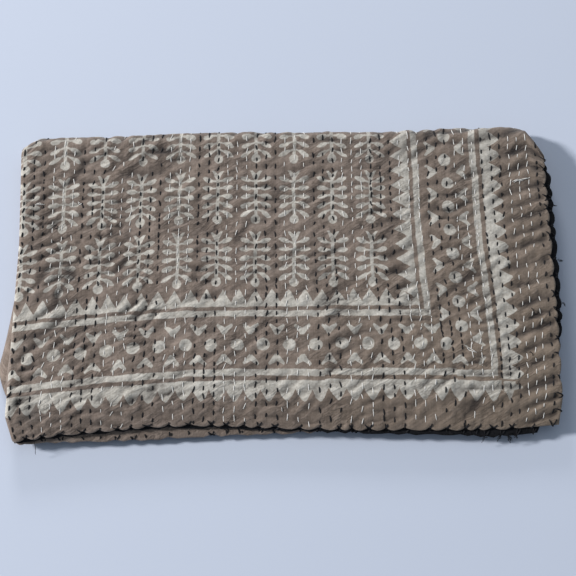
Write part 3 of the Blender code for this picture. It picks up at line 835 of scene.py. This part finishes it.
def running_stitch_paths(numbers, half_lengths, seed):
    """Paths of all stitches of the numbered rows: centred where the pucker count is halfway
    between two puffs, about half a pitch long, each a little off its row and its length."""
    chance = np.random.default_rng(seed)
    fine_v = np.arange(0.004, MIDDLE_V - 0.012, 0.0005)
    middle_u, middle_v = [], []
    for u in row_places[numbers]:
        count = pucker_count(u + 0 * fine_v, fine_v)[0]
        wanted = np.arange(np.ceil(count[0] - 0.5), np.floor(count[-1] - 0.5) + 1) + 0.5
        wanted = wanted + chance.normal(0.0, 0.07, wanted.size)
        middle_v.append(np.interp(wanted, count, fine_v))
        middle_u.append(u + row_drift(u, middle_v[-1]) + chance.normal(0.0, 0.00035, wanted.size))
    middle_u, middle_v = np.concatenate(middle_u), np.concatenate(middle_v)
    half_length = chance.uniform(*half_lengths, middle_u.size)
    lean = chance.normal(0.03, 0.15, middle_u.size)
    along = np.linspace(-1, 1, RINGS)
    path_v = middle_v[:, None] + half_length[:, None] * along
    path_u = middle_u[:, None] + (half_length * lean)[:, None] * along
    lift = THREAD_HALF * (1.25 * np.sqrt(1 - 0.92 * along ** 2) - 0.65)
    return path_u, path_v, printed_height(path_u, path_v) + lift


from_edge = np.arange(len(row_places))[::-1]
black_rows = ((from_edge + 2) // 3) % 2 == 0
CREAM_LENGTHS, BLACK_LENGTHS, BLACK_HALF = (0.0024, 0.0040), (0.0022, 0.0036), 1.95 * THREAD_HALF
cream_stitches = threads("cream_stitches", *running_stitch_paths(~black_rows, CREAM_LENGTHS, 21),
                         THREAD_HALF)
black_stitches = threads("black_stitches", *running_stitch_paths(black_rows, BLACK_LENGTHS, 22),
                         BLACK_HALF)

# Whipped edges
# The turned-in edges of both cloths are held by black thread that is whipped over them, one
# slanting stitch to each scallop, and a second one across many of them.
WHIP_INSET, WHIP_OVERHANG, WHIP_STATIONS = 0.0072, 0.0011, 9
CLEAR_OF_CORNER, CLEAR_OF_FOLD, COUNT_STEP = 0.004, 0.006, 0.0005


def whip_paths(slant, share, seed):
    """Loops over the real edges: in from the edge on the printed side, round the edge, and in
    again on the backing side, slanting along the edge as they go. Only a share of the places
    between two scallops gets one."""
    chance = np.random.default_rng(seed)
    fine = np.arange(CLEAR_OF_CORNER, CLOTH_LENGTH - CLEAR_OF_CORNER, COUNT_STEP)
    side_v = np.interp(np.arange(1, CLOTH_LENGTH / WHIP_PITCH - 1), whip_count(fine), fine)
    fine = np.arange(-SIDE_LENGTH + CLEAR_OF_CORNER, SIDE_LENGTH - CLEAR_OF_CORNER, COUNT_STEP)
    wanted = np.arange(np.ceil(whip_count(fine[0])), whip_count(fine[-1]))
    end_u = np.interp(wanted, whip_count(fine), fine)
    kept = chance.uniform(size=end_u.size) < share
    end_u = end_u[(np.abs(end_u) > CLEAR_OF_FOLD) & kept]
    side_v = side_v[chance.uniform(size=side_v.size) < share]
    s = np.linspace(-1, 1, WHIP_STATIONS)
    all_u, all_v, all_n = [], [], []
    for edge_u, edge_v, places in ((1, 0, side_v), (-1, 0, side_v), (0, -1, end_u), (0, 1, end_u)):
        size = places.size
        inset = WHIP_INSET * np.abs(s) ** 1.3 * chance.uniform(0.70, 1.35, size)[:, None]
        inset = inset - WHIP_OVERHANG
        along = places[:, None] + s * chance.normal(slant, 0.0018, size)[:, None]
        height = np.sign(s) * np.minimum(1.0, (np.abs(s) / 0.45)) ** 0.7
        if edge_u:
            u, v = edge_u * (SIDE_LENGTH - inset), along
        else:
            u, v = along, np.where(edge_v < 0, inset, CLOTH_LENGTH - inset) + 0 * along
        inside_u = np.clip(u, -SIDE_LENGTH, SIDE_LENGTH)
        inside_v = np.clip(v, 0.0, CLOTH_LENGTH)
        surface = np.where(s > 0, printed_height(inside_u, inside_v),
                           QUILT_HALF * hem_curl(inside_u, inside_v))
        dive = THREAD_HALF * (1.3 - 2.4 * np.abs(s) ** 8)
        all_u.append(u)
        all_v.append(v)
        all_n.append(height * (surface + dive))
    return np.concatenate(all_u), np.concatenate(all_v), np.concatenate(all_n)


WHIP_HALF, CROSS_HALF, TWIST_DEPTH, THREAD_GLOSS = 0.00095, 0.00080, 0.0002, 0.25
whip_stitches = threads("whip_stitches", *whip_paths(0.0030, 1.0, 23), WHIP_HALF)
cross_stitches = threads("cross_stitches", *whip_paths(-0.0040, 0.6, 24), CROSS_HALF)


def thread_material(name, dark, light, roughness):
    """Two-ply thread: a twist that winds along it as bump and shade, over mixed colours."""
    material = bpy.data.materials.new(name)
    material.use_nodes = True
    tree = material.node_tree
    shader = tree.nodes["Principled BSDF"]
    shader.inputs["Roughness"].default_value = roughness
    shader.inputs["Specular IOR Level"].default_value = THREAD_GLOSS
    around = tree.nodes.new("ShaderNodeUVMap")
    around.uv_map = "thread"
    split = tree.nodes.new("ShaderNodeSeparateXYZ")
    tree.links.new(around.outputs[0], split.inputs[0])
    turn = Field(split.outputs[0]) + Field(split.outputs[1]) * 2.5
    twist = (turn * 4 * pi).math("SINE") * 0.5 + 0.5
    place = tree.nodes.new("ShaderNodeTexCoord")
    mottle = noise_field(tree, place.outputs["Object"], scale=180.0)
    colour = mix_colours(tree, dark, light, (twist * 0.6 + mottle * 0.5 + 0.2).clamped())
    tree.links.new(colour, shader.inputs["Base Color"])
    bump = tree.nodes.new("ShaderNodeBump")
    bump.inputs["Distance"].default_value = TWIST_DEPTH
    tree.links.new(twist.socket, bump.inputs["Height"])
    tree.links.new(bump.outputs[0], shader.inputs["Normal"])
    return material


cream_thread = thread_material("cream_thread", (0.56, 0.53, 0.49), (0.82, 0.79, 0.75), 0.75)
black_thread = thread_material("black_thread", (0.004, 0.004, 0.005), (0.014, 0.013, 0.015), 0.80)
for piece, material in ((cream_stitches, cream_thread), (black_stitches, black_thread),
                        (whip_stitches, black_thread), (cross_stitches, black_thread)):
    piece.data.materials.append(material)

# Loose threads
# Ends and small tangles of the sewing threads that were never trimmed: cream ones on the printed
# side, black ones at the real edges, and the frayed corner of the second layer's hem.
STRAND_STEPS, STRAND_SCATTER, LOOSE_HALF, FRAY_HALF = 22, 0.0006, 0.0004, 0.0003


def strands(start_u, start_v, reach_u, reach_v, wander, lift, count, seed):
    """Strands that set out close together and wander off: a straight lead of a seeded length,
    plus three sines of seeded size whose waves get shorter, and a rise off the cloth."""
    chance = np.random.default_rng(seed)
    t = np.linspace(0.0, 1.0, STRAND_STEPS)

    def sway(size):
        """Three sines that are nothing at both ends, each shorter and smaller than the last."""
        return sum(chance.normal(0.0, size / k ** 1.3, (count, 1)) * np.sin(pi * k * t)
                   for k in (1, 2, 3))

    lead = t * chance.uniform(0.55, 1.1, (count, 1))
    begin_u = start_u + chance.normal(0.0, STRAND_SCATTER, (count, 1))
    path_u = begin_u + reach_u * lead + sway(wander)
    begin_v = start_v + chance.normal(0.0, STRAND_SCATTER, (count, 1))
    path_v = begin_v + reach_v * lead + sway(wander)
    return path_u, path_v, lift * np.abs(np.sin(pi * t * chance.uniform(1.0, 2.5, (count, 1))))


Tangle = namedtuple("Tangle", "u v reach_u reach_v wander lift count seed")
CREAM_TANGLES = [
    Tangle(0.5925, 0.3025, 0.0190, 0.0050, 0.0014, 0.0008, 3, 41),
    Tangle(0.5260, 0.0930, 0.0100, -0.0060, 0.0018, 0.0006, 2, 42),
    Tangle(0.0210, 0.2890, 0.0090, -0.0030, 0.0028, 0.0006, 2, 43),
    Tangle(0.3120, 0.0230, 0.0020, -0.0080, 0.0008, 0.0004, 1, 44),
    Tangle(0.0680, 0.2870, 0.0060, -0.0060, 0.0022, 0.0006, 2, 45),
]
BLACK_TANGLES = [
    Tangle(0.0270, 0.0020, -0.0010, -0.0140, 0.0012, 0.0004, 1, 51),
    Tangle(0.6020, 0.1420, 0.0060, -0.0090, 0.0012, 0.0008, 1, 52),
    Tangle(0.5980, 0.0880, 0.0050, -0.0080, 0.0010, 0.0008, 1, 53),
    Tangle(0.0400, 0.2560, 0.0040, 0.0050, 0.0014, 0.0008, 2, 54),
]
EDGE_TUFTS = [
    Tangle(-0.6340, 0.2040, -0.0080, 0.0020, 0.0010, 0.0006, 5, 61),
    Tangle(-0.6330, 0.1500, -0.0050, -0.0030, 0.0008, 0.0004, 3, 62),
    Tangle(-0.6335, 0.2740, -0.0050, 0.0020, 0.0008, 0.0004, 3, 63),
    Tangle(-0.5780, 0.0000, 0.0060, -0.0050, 0.0012, 0.0006, 8, 64),
    Tangle(-0.5880, 0.0000, -0.0070, -0.0055, 0.0014, 0.0006, 10, 65),
    Tangle(-0.5560, 0.0000, 0.0080, -0.0045, 0.0010, 0.0006, 6, 66),
    Tangle(-0.5980, 0.0000, -0.0060, -0.0040, 0.0010, 0.0006, 5, 67),
]


def loose_threads(name, tangles, half, below, material):
    """All tangles of one thread as one piece, on the printed side, or on the charcoal side.
    Past a real edge they fall by four fifths of the way that they stick out."""
    paths = [strands(*tangle) for tangle in tangles]
    u, v, lift = (np.concatenate(part) for part in zip(*paths))
    beyond = np.maximum(-v, 0.0) + np.maximum(np.abs(u) - SIDE_LENGTH, 0.0)
    if below:
        height = -QUILT_HALF - lift - half + 0.8 * beyond
    else:
        height = printed_height(u, v) + lift + 0.6 * half - 0.8 * beyond
    piece = threads(name, u, v, height, half)
    piece.data.materials.append(material)


loose_threads("loose_cream_threads", CREAM_TANGLES, LOOSE_HALF, False, cream_thread)
loose_threads("loose_black_threads", BLACK_TANGLES, LOOSE_HALF, False, black_thread)
loose_threads("frayed_edge_threads", EDGE_TUFTS, FRAY_HALF, True, black_thread)

# Floor, light and camera
# A plain pale floor, soft light from the upper left as a window gives, and the camera at the
# photograph's angle: looking down 20 degrees off the vertical from in front.
FLOOR_COLOUR, FLOOR_HALF, FLOOR_TOP = (0.465, 0.500, 0.585), 6.0, -0.0006
floor_u, floor_v = np.meshgrid((-FLOOR_HALF, FLOOR_HALF), (-FLOOR_HALF, FLOOR_HALF))
floor = grid_piece("floor", np.stack([floor_u, floor_v, 0 * floor_u + FLOOR_TOP], axis=-1))
paint = bpy.data.materials.new("floor_paint")
paint.use_nodes = True
finish = paint.node_tree.nodes["Principled BSDF"]
finish.inputs["Base Color"].default_value = (*FLOOR_COLOUR, 1.0)
finish.inputs["Roughness"].default_value = 0.95
floor.data.materials.append(paint)


def soft_light(name, place, size, power, colour=(1.0, 1.0, 1.0)):
    """A round area light that looks at the quilt's middle."""
    lamp = bpy.data.lights.new(name, "AREA")
    lamp.shape = "DISK"
    lamp.size, lamp.energy, lamp.color = size, power, colour
    light = bpy.data.objects.new(name, lamp)
    light.location = place
    light.rotation_euler = Vector(place).to_track_quat("Z", "Y").to_euler()
    bpy.context.scene.collection.objects.link(light)


soft_light("window_light", place=(-6.2, 0.75, 3.6), size=1.0, power=725)
soft_light("back_light", place=(-0.9, 4.6, 1.9), size=1.2, power=95)
soft_light("ceiling_light", place=(0.4, 0.6, 3.2), size=3.0, power=12, colour=(0.93, 0.96, 1.0))
world = bpy.data.worlds.new("room")
world.use_nodes = True
room = world.node_tree.nodes["Background"]
room.inputs["Color"].default_value = (0.70, 0.84, 1.0, 1.0)
room.inputs["Strength"].default_value = 0.33
bpy.context.scene.world = world
bpy.context.scene.view_settings.view_transform = "Standard"

CAMERA_PLACE, CAMERA_TILT, LENS_MM, SENSOR_MM = (0.0032, -0.5004, 1.3534), 20.0, 75.0, 36.0
lens = bpy.data.cameras.new("camera")
lens.lens, lens.sensor_width = LENS_MM, SENSOR_MM
lens.clip_start, lens.clip_end = 0.05, 30.0
camera = bpy.data.objects.new("camera", lens)
camera.location = (CAMERA_PLACE[0] + MIDDLE_SHIFT[0], CAMERA_PLACE[1] + MIDDLE_SHIFT[1],
                   CAMERA_PLACE[2])
camera.rotation_euler = (radians(CAMERA_TILT), 0.0, 0.0)
bpy.context.scene.collection.objects.link(camera)
bpy.context.scene.camera = camera
